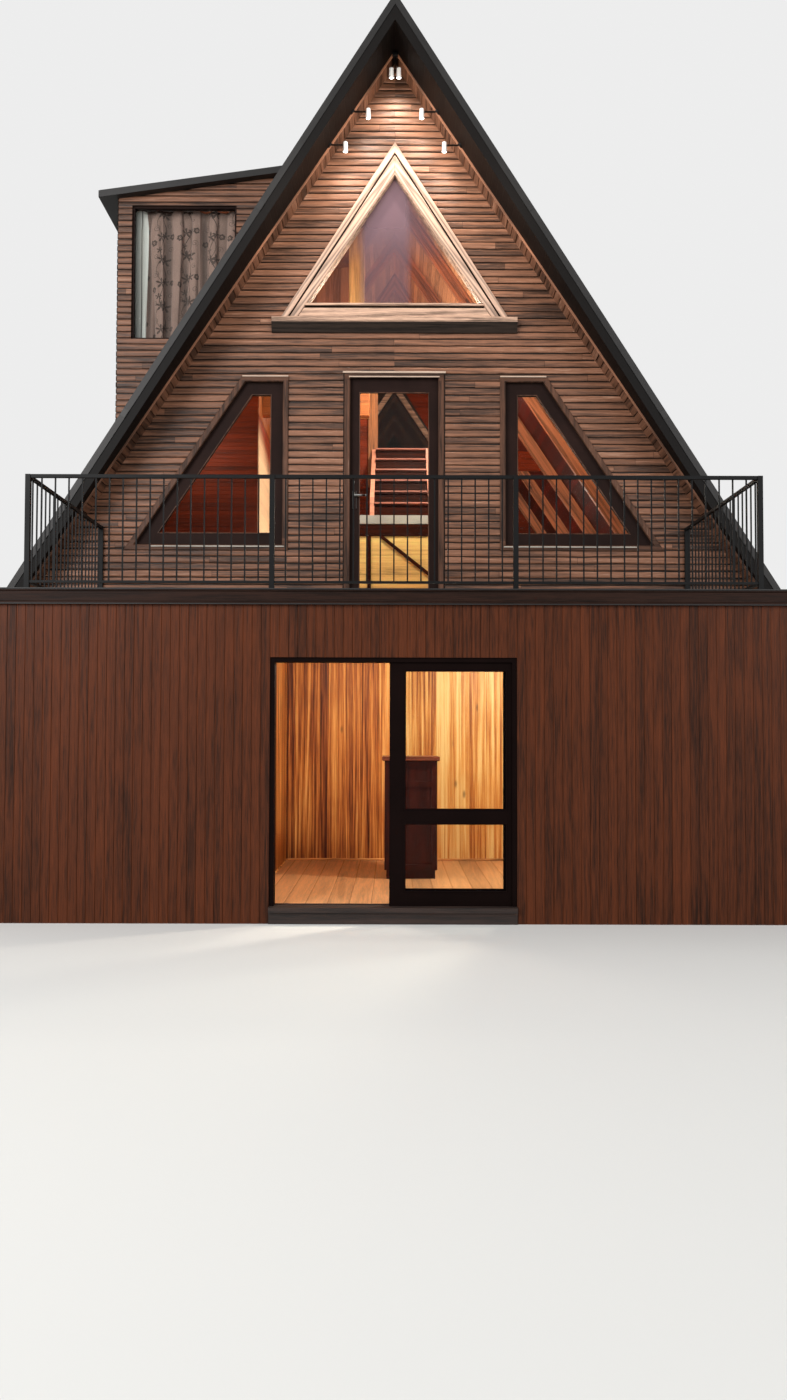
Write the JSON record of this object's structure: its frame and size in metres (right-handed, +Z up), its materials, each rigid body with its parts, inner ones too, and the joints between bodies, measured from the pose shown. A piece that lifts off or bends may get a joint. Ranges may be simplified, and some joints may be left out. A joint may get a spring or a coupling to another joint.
{
  "type": "a-frame cabin",
  "caption": "Steep A-frame cabin on a flat-topped base storey, with a railed front terrace, gable glazing, a side dormer and a sliding glazed door below.",
  "frame": {"origin": "on the ground under the middle of the whole cabin's bounding box", "axes": "+X to the right seen from the front, +Y to the back, +Z up; the front with the sliding door faces -Y"},
  "size_m": [8.7, 10.399, 9.2668],
  "materials": {
    "base_cladding": "reddish brown stained tongue-and-groove boards",
    "gable_siding": "varnished brown rough-sawn boards, orange where lit",
    "casing_wood": "varnished brown window and door trim",
    "dark_frame": "almost black painted frame",
    "interior_pine": "varnished yellow pine boards",
    "rafter_pine": "varnished orange pine",
    "red_boards": "red-brown stained boards",
    "counter_wood": "dark red-brown varnish",
    "floor_planks": "light tan planks",
    "sill_board": "worn dark board",
    "fascia_board": "dark brown paint",
    "terrace_concrete": "worn grey terrace screed",
    "roof_covering": "dark bitumen shingles",
    "grey_flashing": "dull grey sheet metal",
    "black_metal": "satin black paint",
    "lamp_metal": "white painted lamp bodies",
    "rod_metal": "satin grey",
    "curtain_fabric": "beige-taupe cotton with a printed vine",
    "clear_glass": "clear window glass"
  },
  "bodies": {
    "house": {"ground_floor": "floor_planks", "front_wall_left": "base_cladding", "front_wall_right": "base_cladding", "front_wall_over_door": "base_cladding", "side_wall_left": "base_cladding", "side_wall_right": "base_cladding", "rear_wall": "base_cladding", "terrace_slab": "terrace_concrete", "terrace_fascia": "fascia_board", "room_partitions": "interior_pine", "kitchen_counter": "counter_wood", "door_frame": "dark_frame", "door_sill": "sill_board", "fixed_leaf": "dark_frame", "railing_front": "black_metal", "side_railings": "black_metal", "roof_right": "roof_covering", "roof_left": "roof_covering", "verge_strips": "grey_flashing", "ridge_cap": "grey_flashing", "rafters": "rafter_pine", "upper_floor": "floor_planks", "gable_wall_right": "gable_siding", "gable_wall_left": "gable_siding", "gable_wall_top": "gable_siding", "rear_gable_wall": "gable_siding", "opening_casings": "casing_wood", "peak_windows": "casing_wood", "balcony_door": "dark_frame", "dormer_front_wall": "gable_siding", "dormer_rear_wall": "gable_siding", "dormer_side_wall": "gable_siding", "dormer_roof": "roof_covering", "window_frames": "dark_frame", "curtain_rod": "rod_metal", "curtain": "curtain_fabric", "window_glass": "clear_glass", "loft_floor": "floor_planks", "left_room_walls": "red_boards", "loft_front_wall": "red_boards", "stair_landing": "interior_pine", "loft_stair": "red_boards", "spot_lamps": "lamp_metal"},
    "sliding_door_leaf": {"sliding_leaf": "dark_frame", "sliding_leaf_glass": "clear_glass"}
  },
  "joints": [
    {"name": "sliding_door", "type": "slide", "parent": "house", "child": "sliding_door_leaf", "axis": [-1, 0, 0], "range_m": [0, 0.984]}
  ]
}
